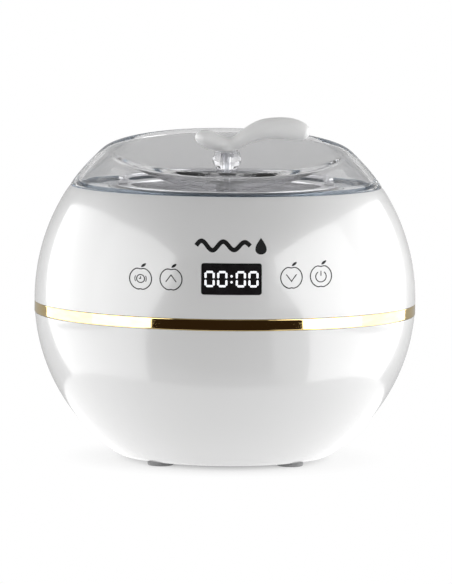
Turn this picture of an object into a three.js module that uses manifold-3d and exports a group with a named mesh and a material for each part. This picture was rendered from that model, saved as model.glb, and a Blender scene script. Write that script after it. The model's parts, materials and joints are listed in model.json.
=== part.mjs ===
// Apple-shaped electric wax warmer: a glossy two-part housing with a gilt band, a heated well,
// a lift-out pot with a bail, and a clear lid whose dished top carries a stem-and-leaf handle.
// Millimetres, +Z up, the front towards -Y, the origin on the table under the middle of the housing.
import * as THREE from "three";
import { mergeVertices } from "three/addons/utils/BufferGeometryUtils.js";
import Module from "manifold-3d";

const wasm = await Module();
wasm.setup();

// ---- Driving dimensions ----
const RADIUS = 95; // the apple at its widest
const CENTRE_Z = 80; // height of the widest circle
const RISE_BELOW = 93.5; // vertical half-axis of the lower half
const RISE_ABOVE = 97.8; // vertical half-axis of the upper half
const WALL = 2.4; // moulded shells
const GAP = 0.3; // between pieces that touch
const JOIN = 0.1; // hairline between the band and the shells
const BASE_Z = 2; // underside of the lower housing
const BASE_RADIUS = 51.5; // edge of the flat underside
const BAND_LOW = 73; // gilt band
const BAND_HIGH = 78.6;
const BAND_BACK = RADIUS - 1.6; // the band's back and the shells' edges behind it
const TONGUE_RADIUS = RADIUS - 4.2; // the band's tongue, held between the two shells
const SEAM_Z = 136.3; // where the lid sits on the housing
const SEAM_RADIUS = 77.4;
const DISH_TILT = THREE.MathUtils.degToRad(7.3); // the lid's dish leans towards the front
const POT_RADIUS = 47.5; // inside the pot
const POT_RIM_Z = 136.5;
const POT_FLOOR_Z = 66.5; // underside of the pot
const POT_WALL = 1.2;
const POT_FLANGE_RADIUS = 54.5;
const BAIL_RADIUS = 52.6;
const BAIL_WIRE_RADIUS = 1.2;
const BAIL_AXIS_Z = 139.4;
const FOOT_X = 32;
const FOOT_Y = 32.4;
const FOOT_RADIUS = 6.5;
const PANEL_Z = 97.9; // middle of the display and of the touch keys
const DISPLAY_WIDTH = 28.6;
const DISPLAY_HEIGHT = 14.5;
const KEY_ANGLES = [-27.8, -18.1, 18.1, 27.8]; // degrees round from the front
const INLET_Z = 40;
const SHELL_SEGMENTS = 32;
const ROUND_SEGMENTS = 12;

// ---- Materials ----
const finish = (color, roughness, metalness = 0, more = {}) =>
  new THREE.MeshStandardMaterial({ color, roughness, metalness, ...more });
const whiteGloss = finish(0xf2f2f0, 0.12);
const gilt = finish(0xc9a24a, 0.08, 1);
const clearPlastic = finish(0xe8eaec, 0.03, 0, { transparent: true, opacity: 0.35 });
const milkPlastic = finish(0xeceae6, 0.18);
const blackLens = finish(0x0c0c0e, 0.1);
const spunAluminium = finish(0xc4c6c8, 0.3, 1);
const steel = finish(0xb8babd, 0.25, 1);
const blackPlastic = finish(0x1b1b1d, 0.45);
const greyRubber = finish(0x55565a, 0.8);
const circuitGreen = finish(0x1f5a3a, 0.5);
const glassFelt = finish(0xd9d4c4, 0.95);
const heaterRed = finish(0x9c4a32, 0.7);
const brassContact = finish(0xc8a860, 0.3, 1);
const leadWhite = finish(0xe4e2dc, 0.6);

// ---- Solids ----
// A closed geometry as a manifold-3d solid.
function solid(geometry) {
  const bare = geometry.index ? geometry.toNonIndexed() : geometry.clone();
  bare.deleteAttribute("normal");
  bare.deleteAttribute("uv");
  const merged = mergeVertices(bare, 1e-4);
  return new wasm.Manifold(
    new wasm.Mesh({
      numProp: 3,
      vertProperties: merged.attributes.position.array,
      triVerts: new Uint32Array(merged.index.array),
    }),
  );
}

// A manifold-3d solid as a geometry.
function surface(made) {
  const mesh = made.getMesh();
  const geometry = new THREE.BufferGeometry();
  geometry.setAttribute("position", new THREE.BufferAttribute(mesh.vertProperties, 3));
  geometry.setIndex(new THREE.BufferAttribute(mesh.triVerts, 1));
  geometry.computeVertexNormals();
  return geometry;
}

// Turns a profile of [radius, z] points about Z. A profile off the axis is closed on itself.
function revolve(profile, segments = SHELL_SEGMENTS) {
  const points = profile.map(([r, z]) => new THREE.Vector2(r, z));
  if (THREE.ShapeUtils.area(points) < 0) points.reverse();
  const onAxis = profile.filter(([r]) => r === 0).length > 1;
  if (!onAxis) {
    points.push(points[0].clone());
    return new THREE.LatheGeometry(points, segments).rotateX(Math.PI / 2);
  }
  // The open profile starts and ends on the axis, whichever way round it is listed.
  while (!(points[0].x === 0 && points.at(-1).x === 0)) points.push(points.shift());
  return new THREE.LatheGeometry(points, segments).rotateX(Math.PI / 2);
}

const box = (x0, x1, y0, y1, z0, z1) =>
  new THREE.BoxGeometry(x1 - x0, y1 - y0, z1 - z0).translate((x0 + x1) / 2, (y0 + y1) / 2, (z0 + z1) / 2);

// An upright cylinder from z0 to z1.
const rod = (radius, x, y, z0, z1, segments = ROUND_SEGMENTS) =>
  new THREE.CylinderGeometry(radius, radius, z1 - z0, segments)
    .rotateX(Math.PI / 2)
    .translate(x, y, (z0 + z1) / 2);

// A cylinder along Y from y0 to y1.
const rodAlongY = (radius, x, z, y0, y1, segments = ROUND_SEGMENTS) =>
  new THREE.CylinderGeometry(radius, radius, y1 - y0, segments).translate(x, (y0 + y1) / 2, z);

// A round tube along a smooth curve through the points, which are [x, y, z].
function tube(points, radius, sides, steps) {
  const section = new THREE.Shape();
  for (let i = 0; i < sides; i++) {
    const a = (2 * Math.PI * i) / sides;
    if (i === 0) section.moveTo(radius * Math.cos(a), radius * Math.sin(a));
    else section.lineTo(radius * Math.cos(a), radius * Math.sin(a));
  }
  const curve = new THREE.CatmullRomCurve3(points.map((p) => new THREE.Vector3(...p)), false, "centripetal");
  return new THREE.ExtrudeGeometry(section, { steps, extrudePath: curve });
}

const unite = (first, ...rest) => rest.reduce((all, g) => all.add(solid(g)), solid(first));
const cut = (whole, ...tools) => tools.reduce((all, g) => all.subtract(solid(g)), whole);

// Radius of the apple, or of a shell wall set in from it, at height z.
function appleRadius(z, inset = 0) {
  const rise = (z < CENTRE_Z ? RISE_BELOW : RISE_ABOVE) - inset;
  return (RADIUS - inset) * Math.sqrt(Math.max(0, 1 - ((z - CENTRE_Z) / rise) ** 2));
}

// Points up or down the apple's side, evenly spaced by height.
function appleSide(from, to, steps, inset = 0) {
  const points = [];
  for (let i = 0; i <= steps; i++) {
    const z = from + ((to - from) * i) / steps;
    points.push([appleRadius(z, inset), z]);
  }
  return points;
}

// Leans a geometry that is drawn upright on the lid's axis towards the front, about the apple's middle.
const lean = (geometry) =>
  geometry.translate(0, 0, -CENTRE_Z).rotateX(DISH_TILT).translate(0, 0, CENTRE_Z);

const warmer = new THREE.Group();
function piece(parent, name, shape, material) {
  const geometry = shape instanceof THREE.BufferGeometry ? shape : surface(shape);
  const mesh = new THREE.Mesh(geometry, material);
  mesh.name = name;
  parent.add(mesh);
  return mesh;
}
const sides = [
  ["left", -1],
  ["right", 1],
];
const corners = [
  ["front_left", -1, -1],
  ["front_right", 1, -1],
  ["rear_left", -1, 1],
  ["rear_right", 1, 1],
];

// ---- Lower housing: a bowl with a flat underside, four screw wells and the inlet's recess ----
const FLOOR_Z = BASE_Z + WALL;
const SCREW_WELL_RADIUS = 5.4;
const SCREW_WELL_BORE = 3.9;
const SCREW_WELL_TOP = 56.7;
const SCREW_SEAT_Z = 45;
const SCREW_CLEARANCE_RADIUS = 1.9;
const INLET_HALF_WIDTH = 12; // inside the recess
const INLET_HALF_HEIGHT = 8;
const INLET_FACE_Y = 77.5;
const INLET_BACK_Y = 64;
const PIN_X = 4.3;
const housing = new THREE.Group();
warmer.add(housing);
{
  const bowl = solid(
    revolve([
      [0, BASE_Z],
      [BASE_RADIUS, BASE_Z],
      [appleRadius(4), 4],
      ...appleSide(12, BAND_LOW - JOIN, 6),
      [BAND_BACK - GAP, BAND_LOW - JOIN],
      [BAND_BACK - GAP, BAND_LOW + 1.7],
      [TONGUE_RADIUS, BAND_LOW + 1.7],
      ...appleSide(BAND_LOW - 3, 13, 5, WALL),
      [BASE_RADIUS + 1, FLOOR_Z],
      [0, FLOOR_Z],
    ]),
  );
  // The recess's sleeve stops flush with the apple's own surface.
  const sleeve = solid(
    box(-INLET_HALF_WIDTH - 1.6, INLET_HALF_WIDTH + 1.6, INLET_BACK_Y + 4, RADIUS,
      INLET_Z - INLET_HALF_HEIGHT - 1.6, INLET_Z + INLET_HALF_HEIGHT + 1.6),
  ).intersect(solid(revolve([[0, BASE_Z], ...appleSide(12, BAND_LOW - JOIN, 6), [0, BAND_LOW - JOIN]])));
  const wells = corners.map(([, sx, sy]) =>
    rod(SCREW_WELL_RADIUS, sx * FOOT_X, sy * FOOT_Y, BASE_Z + 0.5, SCREW_WELL_TOP));
  const boardPegs = [-1, 1].flatMap((sx) =>
    [-1, 1].map((sy) => rod(2.6, sx * 23, sy * 22 - 2, FLOOR_Z - 0.5, 11.7, 8)));
  let lower = [...wells, ...boardPegs].reduce((all, g) => all.add(solid(g)), bowl).add(sleeve);
  const bores = corners.flatMap(([, sx, sy]) => [
    rod(FOOT_RADIUS + 0.4, sx * FOOT_X, sy * FOOT_Y, BASE_Z - 1, BASE_Z + 1.4, 20),
    rod(SCREW_WELL_BORE, sx * FOOT_X, sy * FOOT_Y, BASE_Z - 1, SCREW_SEAT_Z),
    rod(SCREW_CLEARANCE_RADIUS, sx * FOOT_X, sy * FOOT_Y, SCREW_SEAT_Z - 1, SCREW_WELL_TOP + 1, 8),
  ]);
  const pegHoles = [-1, 1].flatMap((sx) =>
    [-1, 1].map((sy) => rod(1.4, sx * 23, sy * 22 - 2, 6, 12, 8)));
  const vents = [-2, -1, 0, 1, 2].map((i) => box(i * 7 - 1.5, i * 7 + 1.5, -12, 12, 0, FLOOR_Z + 1));
  lower = cut(lower, ...bores, ...pegHoles, ...vents,
    box(-INLET_HALF_WIDTH, INLET_HALF_WIDTH, INLET_BACK_Y, RADIUS + 1,
      INLET_Z - INLET_HALF_HEIGHT, INLET_Z + INLET_HALF_HEIGHT));
  piece(housing, "lower_housing", lower, whiteGloss);
}

// ---- Feet: rubber pads whose stems plug the screw wells ----
for (const [where, sx, sy] of corners) {
  const foot = revolve([
    [0, 0],
    [FOOT_RADIUS - 0.8, 0],
    [FOOT_RADIUS, 0.8],
    [FOOT_RADIUS, BASE_Z + 1],
    [SCREW_WELL_BORE - 0.5, BASE_Z + 1],
    [SCREW_WELL_BORE - 0.8, 10],
    [0, 10],
  ], 16);
  piece(housing, `foot_${where}`, foot, greyRubber).position.set(sx * FOOT_X, sy * FOOT_Y, 0);
}

// ---- Upper housing: shoulder, lid seat, deck round the well, four posts and the display's window ----
const DECK_Z = 134.6;
const WELL_SEAT_Z = 133.4;
const DECK_UNDERSIDE = 131;
const POST_OFFSET = 48.2; // x and y of each post
const POST_FOOT_Z = 58.6;
const CONTROL_Y = -72.6; // outer face of the control board, which is screwed to two bosses
const BOSS_X = 21;
const BOSS_Z = 104;
const windowBlock = (margin) =>
  box(-DISPLAY_WIDTH / 2 - margin, DISPLAY_WIDTH / 2 + margin, -RADIUS - 1, -RADIUS + 9,
    PANEL_Z - DISPLAY_HEIGHT / 2 - margin, PANEL_Z + DISPLAY_HEIGHT / 2 + margin);
const shoulderWall = () =>
  solid(revolve([
    ...appleSide(BAND_HIGH + JOIN, SEAM_Z, 6),
    ...appleSide(DECK_UNDERSIDE, BAND_HIGH + JOIN, 5, WALL),
  ]));
{
  const shell = solid(
    revolve([
      ...appleSide(BAND_HIGH + JOIN, 130, 6),
      [SEAM_RADIUS, SEAM_Z],
      [75.2, SEAM_Z],
      [75, 133.2],
      [71.5, 133.2],
      [69.5, DECK_Z],
      [58.6, DECK_Z],
      [58.6, WELL_SEAT_Z],
      [52.4, WELL_SEAT_Z],
      [52.4, DECK_UNDERSIDE],
      [appleRadius(DECK_UNDERSIDE, WALL), DECK_UNDERSIDE],
      ...appleSide(124, BAND_HIGH + 2, 5, WALL),
      [TONGUE_RADIUS, BAND_HIGH - 1.9],
      [BAND_BACK - GAP, BAND_HIGH - 1.9],
      [BAND_BACK - GAP, BAND_HIGH + JOIN],
    ]),
  );
  const posts = corners.map(([, sx, sy]) =>
    rod(4, sx * POST_OFFSET, sy * POST_OFFSET, POST_FOOT_Z, DECK_UNDERSIDE + 1));
  const bosses = sides.map(([, s]) =>
    rodAlongY(2.4, s * BOSS_X, BOSS_Z, -appleRadius(BOSS_Z, WALL) + 1.5, CONTROL_Y - GAP, 8));
  const bossHoles = sides.map(([, s]) => rodAlongY(1.1, s * BOSS_X, BOSS_Z, CONTROL_Y - 8, CONTROL_Y, 8));
  const postHoles = corners.map(([, sx, sy]) =>
    rod(1.8, sx * POST_OFFSET, sy * POST_OFFSET, POST_FOOT_Z - 1, POST_FOOT_Z + 14, 8));
  const upper = cut([...posts, ...bosses].reduce((all, g) => all.add(solid(g)), shell),
    ...postHoles, ...bossHoles, windowBlock(GAP));
  piece(housing, "upper_housing", upper, whiteGloss);
}
piece(housing, "display_window", shoulderWall().intersect(solid(windowBlock(0))), blackLens);

// ---- Gilt band, held by its tongue between the two shells ----
piece(
  housing,
  "trim_band",
  revolve([
    [BAND_BACK, BAND_LOW],
    [RADIUS - 0.2, BAND_LOW],
    [RADIUS, BAND_LOW + 1.4],
    [RADIUS, BAND_HIGH],
    [BAND_BACK, BAND_HIGH],
    [BAND_BACK, BAND_HIGH - 1.9 - GAP],
    [TONGUE_RADIUS, BAND_HIGH - 1.9 - GAP],
    [TONGUE_RADIUS, BAND_LOW + 1.7 + GAP],
    [BAND_BACK, BAND_LOW + 1.7 + GAP],
  ]),
  gilt,
);

// ---- Heated well: a drawn cup hung by its flange from the deck ----
const WELL_RADIUS = 50.2; // inside
const WELL_OUTSIDE = 51.7;
const WELL_FLOOR_Z = 64;
const WELL_FLANGE_RADIUS = 58.2;
const WELL_FLANGE_TOP = WELL_SEAT_Z + 1.5;
piece(
  housing,
  "heating_well",
  revolve([
    [0, WELL_FLOOR_Z],
    [WELL_OUTSIDE - 5, WELL_FLOOR_Z],
    [WELL_OUTSIDE, WELL_FLOOR_Z + 5],
    [WELL_OUTSIDE, WELL_SEAT_Z + GAP],
    [WELL_FLANGE_RADIUS, WELL_SEAT_Z + GAP],
    [WELL_FLANGE_RADIUS, WELL_FLANGE_TOP],
    [WELL_RADIUS, WELL_FLANGE_TOP],
    [WELL_RADIUS, WELL_FLOOR_Z + 6],
    [WELL_RADIUS - 4.5, WELL_FLOOR_Z + 1.5],
    [0, WELL_FLOOR_Z + 1.5],
  ]),
  spunAluminium,
);
const ring = (inner, outer, z0, z1, segments = SHELL_SEGMENTS) =>
  revolve([
    [inner, z0],
    [outer, z0],
    [outer, z1],
    [inner, z1],
  ], segments);
piece(housing, "band_heater", ring(WELL_OUTSIDE + GAP, 53.8, 74, 116, 32), heaterRed);
piece(housing, "felt_sleeve", ring(54.6, 60, 76, 120, 24), glassFelt);
piece(housing, "well_seal", ring(54, 57, WELL_FLANGE_TOP + JOIN, WELL_FLANGE_TOP + GAP, 24), greyRubber);

// ---- Support plate under the well, with its screws ----
const PLATE_Z = 57;
const PLATE_THICKNESS = 1.2;
{
  const holes = corners.flatMap(([, sx, sy]) => [
    rod(1.8, sx * POST_OFFSET, sy * POST_OFFSET, PLATE_Z - 1, PLATE_Z + 3, 8),
    rod(1.8, sx * FOOT_X, sy * FOOT_Y, PLATE_Z - 1, PLATE_Z + 3, 8),
  ]);
  const plate = cut(
    solid(rod(73, 0, 0, PLATE_Z, PLATE_Z + PLATE_THICKNESS, 32)),
    ...holes,
    rod(8.6, 0, 0, PLATE_Z - 1, PLATE_Z + 3, 16),
    box(-12, 12, 54, 80, PLATE_Z - 1, PLATE_Z + 3),
    box(-10, 10, -80, -62, PLATE_Z - 1, PLATE_Z + 3),
  );
  piece(housing, "support_plate", plate, steel);
}
// A pan-head screw standing on its head at the origin.
const screw = (head, shank, headHeight, length) =>
  revolve([
    [0, -headHeight],
    [head * 0.75, -headHeight],
    [head, -headHeight * 0.5],
    [head, 0],
    [shank, 0],
    [shank, length],
    [0, length],
  ], 8);
for (const [where, sx, sy] of corners) {
  piece(housing, `base_screw_${where}`, screw(3.2, 1.5, 2.2, 14.5), steel)
    .position.set(sx * FOOT_X, sy * FOOT_Y, SCREW_SEAT_Z - GAP);
  piece(housing, `post_screw_${where}`, screw(3, 1.4, 2, 12), steel)
    .position.set(sx * POST_OFFSET, sy * POST_OFFSET, PLATE_Z - GAP);
}

// ---- Thermostat, thermal fuse and temperature sensor ----
piece(housing, "thermostat", revolve([
  [0, 52],
  [6, 52],
  [6, 57],
  [8, 57],
  [8, WELL_FLOOR_Z - GAP],
  [0, WELL_FLOOR_Z - GAP],
], 16), blackPlastic);
piece(housing, "thermal_fuse", new THREE.CylinderGeometry(1.5, 1.5, 12, 8)
  .rotateZ(Math.PI / 2).translate(22, 0, WELL_FLOOR_Z - 2), brassContact);
piece(housing, "temperature_sensor", rodAlongY(1.2, -22, WELL_FLOOR_Z - 1.7, -5, 5, 8), steel);

// ---- Electronics ----
const BOARD_Z = 12;
const BOARD_THICKNESS = 1.6;
const ON_BOARD = BOARD_Z + BOARD_THICKNESS + GAP;
piece(housing, "power_board", cut(
  solid(box(-27, 27, -29, 25, BOARD_Z, BOARD_Z + BOARD_THICKNESS)),
  ...[-1, 1].flatMap((sx) => [-1, 1].map((sy) => rod(1.4, sx * 23, sy * 22 - 2, 10, 15, 8))),
), circuitGreen);
[[-1, -1], [1, -1], [-1, 1], [1, 1]].forEach(([sx, sy], i) =>
  piece(housing, `board_screw_${i + 1}`, screw(2.2, 1, 1.6, 6).rotateX(Math.PI), steel)
    .position.set(sx * 23, sy * 22 - 2, ON_BOARD));
piece(housing, "transformer", box(-18, 4, -24, -4, ON_BOARD, ON_BOARD + 18), blackPlastic);
piece(housing, "relay", box(7, 17, -22, -2, ON_BOARD, ON_BOARD + 15), blackPlastic);
piece(housing, "filter_capacitor", rod(5, -12, 6, ON_BOARD, ON_BOARD + 16), blackPlastic);
piece(housing, "terminal_block", box(-2, 18, 12, 20, ON_BOARD, ON_BOARD + 10), circuitGreen);
piece(housing, "control_board", cut(
  solid(box(-48, 48, CONTROL_Y, CONTROL_Y + BOARD_THICKNESS, PANEL_Z - 10.7, PANEL_Z + 10.1)),
  ...sides.map(([, s]) => rodAlongY(1.4, s * BOSS_X, BOSS_Z, CONTROL_Y - 1, CONTROL_Y + 3, 8)),
), circuitGreen);
const ON_CONTROL_Y = CONTROL_Y + BOARD_THICKNESS + GAP;
for (const [where, s] of sides)
  piece(housing, `panel_screw_${where}`, screw(2.2, 0.8, 1.6, 7).rotateX(Math.PI / 2), steel)
    .position.set(s * BOSS_X, ON_CONTROL_Y, BOSS_Z);
const MODULE_HALF_HEIGHT = 6.5;
piece(housing, "display_module",
  box(-14, 14, -87.6, CONTROL_Y - GAP, PANEL_Z - MODULE_HALF_HEIGHT, PANEL_Z + MODULE_HALF_HEIGHT),
  blackPlastic);
piece(housing, "buzzer", rodAlongY(4.5, 36, PANEL_Z, ON_CONTROL_Y, CONTROL_Y + 7), blackPlastic);
const PAD_RADIUS = 3.6; // the spring's wide end, against the inside of the shell
KEY_ANGLES.forEach((angle, i) => {
  const x = appleRadius(PANEL_Z) * Math.sin(THREE.MathUtils.degToRad(angle));
  const reach = Math.abs(x) + PAD_RADIUS;
  const inside = -Math.sqrt(appleRadius(PANEL_Z + PAD_RADIUS, WALL) ** 2 - reach ** 2) + 2 * GAP;
  const spring = new THREE.CylinderGeometry(2.4, PAD_RADIUS, CONTROL_Y - GAP - inside, 10);
  piece(housing, `touch_spring_${i + 1}`, spring, brassContact)
    .position.set(x, (inside + CONTROL_Y - GAP) / 2, PANEL_Z);
});

// ---- Two-pole appliance inlet in its recess, and the leads inside ----
{
  const halfWidth = INLET_HALF_WIDTH - GAP;
  const halfHeight = INLET_HALF_HEIGHT - GAP;
  const body = box(-halfWidth, halfWidth, INLET_BACK_Y, INLET_FACE_Y,
    INLET_Z - halfHeight, INLET_Z + halfHeight);
  const socket = box(-7.2, 7.2, INLET_FACE_Y - 10, INLET_FACE_Y + 1, INLET_Z - 4.3, INLET_Z + 4.3);
  const pinHoles = sides.map(([, s]) =>
    rodAlongY(1.5, s * PIN_X, INLET_Z, INLET_BACK_Y + 1, INLET_FACE_Y, 8));
  piece(housing, "power_inlet", cut(solid(body), socket, ...pinHoles), blackPlastic);
}
for (const [where, s] of sides)
  piece(housing, `inlet_pin_${where}`,
    rodAlongY(1.2, s * PIN_X, INLET_Z, INLET_BACK_Y + 1.3, INLET_FACE_Y - 1.6, 8), steel);
piece(housing, "mains_lead", tube([
  [6, 63.4, 40],
  [8, 56, 39],
  [12, 40, 37],
  [12, 24, 34],
  [12, 17, 29.5],
  [12, 16, 24.3],
], 2, 8, 16), leadWhite);
piece(housing, "heater_lead", tube([
  [2, 16, 24.3],
  [2, 17, 30],
  [1, 28, 41],
  [0, 46, 50],
  [0, 58, 56],
  [0, 56.6, 64],
  [0, 53, 73.6],
], 1.1, 8, 18), leadWhite);
piece(housing, "panel_lead", tube([
  [0, -26.2, 14],
  [0, -26.2, 18],
  [0, -34, 26],
  [0, -52, 42],
  [0, -66, 58],
  [0, -68.6, 76],
  [0, -68.6, 88],
], 1.6, 8, 16), leadWhite);

// ---- Pot with the bail's ears ----
const pot = new THREE.Group();
warmer.add(pot);
piece(
  pot,
  "inner_pot",
  revolve([
    [0, POT_FLOOR_Z],
    [POT_RADIUS + POT_WALL - 8, POT_FLOOR_Z],
    [POT_RADIUS + POT_WALL - 2.2, POT_FLOOR_Z + 2.4],
    [POT_RADIUS + POT_WALL, POT_FLOOR_Z + 8],
    [POT_RADIUS + POT_WALL, POT_RIM_Z - POT_WALL],
    [POT_FLANGE_RADIUS, POT_RIM_Z - POT_WALL],
    [POT_FLANGE_RADIUS, POT_RIM_Z],
    [POT_RADIUS + 0.6, POT_RIM_Z],
    [POT_RADIUS, POT_RIM_Z - 0.8],
    [POT_RADIUS, POT_FLOOR_Z + 8.6],
    [POT_RADIUS - 2.2, POT_FLOOR_Z + 3.8],
    [POT_RADIUS - 7, POT_FLOOR_Z + 1.4],
    [0, POT_FLOOR_Z + 1.4],
  ]),
  spunAluminium,
);
for (const [where, s] of sides) {
  const upright = box(49, 50.2, -3, 3, POT_RIM_Z + GAP, BAIL_AXIS_Z + 2.8);
  const flat = box(49, 54, -5, 5, POT_RIM_Z + GAP, POT_RIM_Z + GAP + 1);
  const eye = new THREE.CylinderGeometry(1.6, 1.6, 6, 8);
  eye.rotateZ(Math.PI / 2).translate(49.6, 0, BAIL_AXIS_Z);
  const ear = surface(cut(unite(flat, upright), eye));
  piece(pot, `bail_ear_${where}`, s < 0 ? ear.rotateZ(Math.PI) : ear, steel);
}

// ---- Bail: a wire half hoop, lying back along the rim, with both ends turned in through the ears ----
{
  const route = [
    [-48.2, 0],
    [-50.6, 0],
    [-52, 0.8],
  ];
  const arcSteps = 10;
  for (let i = 0; i <= arcSteps; i++) {
    const a = Math.PI - 0.055 - ((Math.PI - 0.11) * i) / arcSteps;
    route.push([BAIL_RADIUS * Math.cos(a), BAIL_RADIUS * Math.sin(a)]);
  }
  route.push([52, 0.8], [50.6, 0], [48.2, 0]);
  const raised = route.map(([x, y]) => [x, y, BAIL_AXIS_Z]);
  piece(warmer, "bail_wire", tube(raised, BAIL_WIRE_RADIUS, 6, 44), steel);
}

// ---- Lid: a clear cap that carries on the apple's curve into a dish, with a cup for the handle's post ----
const lid = new THREE.Group();
warmer.add(lid);
const LID_FOOT_Z = SEAM_Z + GAP;
const DISH_EDGE_RADIUS = 57; // inside this the lid leans as a whole
const DISH_FLOOR_Z = 140.4; // at the edge of the hole that the petal cup hangs in
const CUP_FLOOR_Z = 134.1;
const LID_HOLE = 12.6;
{
  const cap = revolve([
    [SEAM_RADIUS, LID_FOOT_Z],
    ...appleSide(141, 150, 2),
    [63.6, 152.8],
    [61.2, 154.6],
    [58.2, 155.3],
    [55.2, 154.6],
    [50, 152],
    [42, 147.9],
    [32, 143.9],
    [22, 141.4],
    [LID_HOLE, DISH_FLOOR_Z],
    [LID_HOLE, DISH_FLOOR_Z - WALL],
    [22, 139],
    [32, 141.4],
    [42, 145.3],
    [50, 149.4],
    [55.2, 152],
    [58.2, 152.8],
    [60, 152.2],
    [64, 148.4],
    [68.4, 143.6],
    [72.2, 138.6],
    [72.2, LID_FOOT_Z - 2.4],
    [74.5, LID_FOOT_Z - 2.4],
    [74.5, LID_FOOT_Z],
  ]);
  const position = cap.getAttribute("position");
  const point = new THREE.Vector3();
  for (let i = 0; i < position.count; i++) {
    point.fromBufferAttribute(position, i);
    const inDish = Math.hypot(point.x, point.y) < DISH_EDGE_RADIUS;
    const share = inDish ? 1 : THREE.MathUtils.smoothstep(point.z, 138, 152.5);
    point.z -= CENTRE_Z;
    point.applyAxisAngle(new THREE.Vector3(1, 0, 0), DISH_TILT * share);
    position.setXYZ(i, point.x, point.y, point.z + CENTRE_Z);
  }
  piece(lid, "lid_cap", cap, clearPlastic);
}

// ---- Petal cup: a clear tulip that hangs by its petal tips in the dish's hole and holds the post ----
const PETALS = 6;
{
  const cup = revolve([
    [1.9, CUP_FLOOR_Z],
    [5.6, CUP_FLOOR_Z],
    [8.2, CUP_FLOOR_Z + 1.5],
    [11, CUP_FLOOR_Z + 5.3],
    [14, CUP_FLOOR_Z + 8.1],
    [15, CUP_FLOOR_Z + 7.5],
    [14.4, CUP_FLOOR_Z + 6.8],
    [12.2, CUP_FLOOR_Z + 6.8],
    [10.9, CUP_FLOOR_Z + 3.9],
    [8.8, CUP_FLOOR_Z],
    [6.8, CUP_FLOOR_Z - WALL],
    [1.9, CUP_FLOOR_Z - WALL],
  ], 4 * PETALS);
  const position = cup.getAttribute("position");
  for (let i = 0; i < position.count; i++) {
    const [x, y, z] = [position.getX(i), position.getY(i), position.getZ(i)];
    // The valleys between the petals are drawn in, more so towards the tips.
    const valley = (1 - Math.cos(PETALS * Math.atan2(y, x))) / 2;
    const pinch = 1 - 0.12 * valley * THREE.MathUtils.smoothstep(z, CUP_FLOOR_Z, CUP_FLOOR_Z + 3.5) *
      (z < DISH_FLOOR_Z ? 1 : 0.4);
    position.setXYZ(i, x * pinch, y * pinch, z);
  }
  piece(lid, "petal_cup", lean(cup), clearPlastic);
}

// ---- Handle: a stem and a leaf in one milky moulding on a clear post ----
const POST_TOP_Z = 154.9;
const HANDLE_DEPTH = 11;
{
  const outline = new THREE.Shape();
  outline.moveTo(-5.5, 156.2);
  outline.splineThru([
    [-11.5, 157.4], [-15.6, 161.2], [-15, 164.6], [-10.2, 165.2], [-6.6, 164.4], [-2.8, 161.2], [0.4, 160.6],
    [4.2, 161.8], [8.4, 166.4], [13.4, 169.6], [20.6, 171.4], [26, 172], [32.6, 171], [37.8, 168.2],
    [39.4, 165.4], [37.4, 162.2], [31.8, 161.2], [21.6, 161.8], [14.2, 160.8], [9.4, 158.2], [5.5, 156.2],
  ].map(([x, z]) => new THREE.Vector2(x, z)));
  outline.closePath();
  const bevel = 1.6;
  const leaf = new THREE.ExtrudeGeometry(outline, {
    depth: HANDLE_DEPTH - 2 * bevel,
    bevelSize: bevel,
    bevelOffset: -bevel,
    bevelThickness: bevel,
    bevelSegments: 2,
    curveSegments: 2,
  });
  leaf.rotateX(Math.PI / 2).translate(0, HANDLE_DEPTH / 2 - bevel, 0);
  const neck = rod(3.6, 0, 0, POST_TOP_Z + GAP, 158, 12);
  const screwHole = rod(1.7, 0, 0, POST_TOP_Z - 1, 158.6, 8);
  piece(lid, "handle_leaf", lean(surface(cut(unite(leaf, neck), screwHole))), milkPlastic);
}
piece(lid, "handle_post", lean(revolve([
  [1.8, CUP_FLOOR_Z + GAP],
  [5.6, CUP_FLOOR_Z + GAP],
  [5.6, 146.6],
  [7.4, 149.8],
  [6.8, 152.6],
  [6.2, POST_TOP_Z],
  [1.8, POST_TOP_Z],
], 16)), clearPlastic);
const CUP_UNDERSIDE = CUP_FLOOR_Z - WALL;
piece(lid, "handle_washer", lean(ring(1.9, 5, CUP_UNDERSIDE - 1.1, CUP_UNDERSIDE - GAP, 16)), greyRubber);
piece(lid, "handle_screw", lean(screw(3.1, 1.4, 1.8, 28).translate(0, 0, CUP_UNDERSIDE - 1.4)), steel);

export default warmer;
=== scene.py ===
# An apple-shaped electric wax warmer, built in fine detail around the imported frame: glossy white housing,
# gilt band, touch panel, clear dished lid with a stem-and-leaf handle, and the lift-out pot in its well.
import json
import math

import bmesh
import bpy
from mathutils import Matrix, Vector


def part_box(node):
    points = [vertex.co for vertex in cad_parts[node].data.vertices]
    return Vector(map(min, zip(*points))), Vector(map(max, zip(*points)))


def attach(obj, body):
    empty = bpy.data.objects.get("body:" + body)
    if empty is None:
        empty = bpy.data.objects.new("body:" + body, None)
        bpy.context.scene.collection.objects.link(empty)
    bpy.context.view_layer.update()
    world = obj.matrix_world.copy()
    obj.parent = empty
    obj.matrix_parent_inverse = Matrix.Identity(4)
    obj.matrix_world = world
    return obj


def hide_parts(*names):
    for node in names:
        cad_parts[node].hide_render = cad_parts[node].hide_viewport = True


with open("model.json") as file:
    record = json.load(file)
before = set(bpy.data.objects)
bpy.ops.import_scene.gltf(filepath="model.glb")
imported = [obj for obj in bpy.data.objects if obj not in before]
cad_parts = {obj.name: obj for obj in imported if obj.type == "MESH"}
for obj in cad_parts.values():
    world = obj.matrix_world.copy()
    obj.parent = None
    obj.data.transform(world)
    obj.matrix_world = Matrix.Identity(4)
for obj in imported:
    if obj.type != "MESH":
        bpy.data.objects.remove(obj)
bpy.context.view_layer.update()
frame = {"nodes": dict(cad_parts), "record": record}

MM = 0.001
TURN = 2 * math.pi

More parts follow.
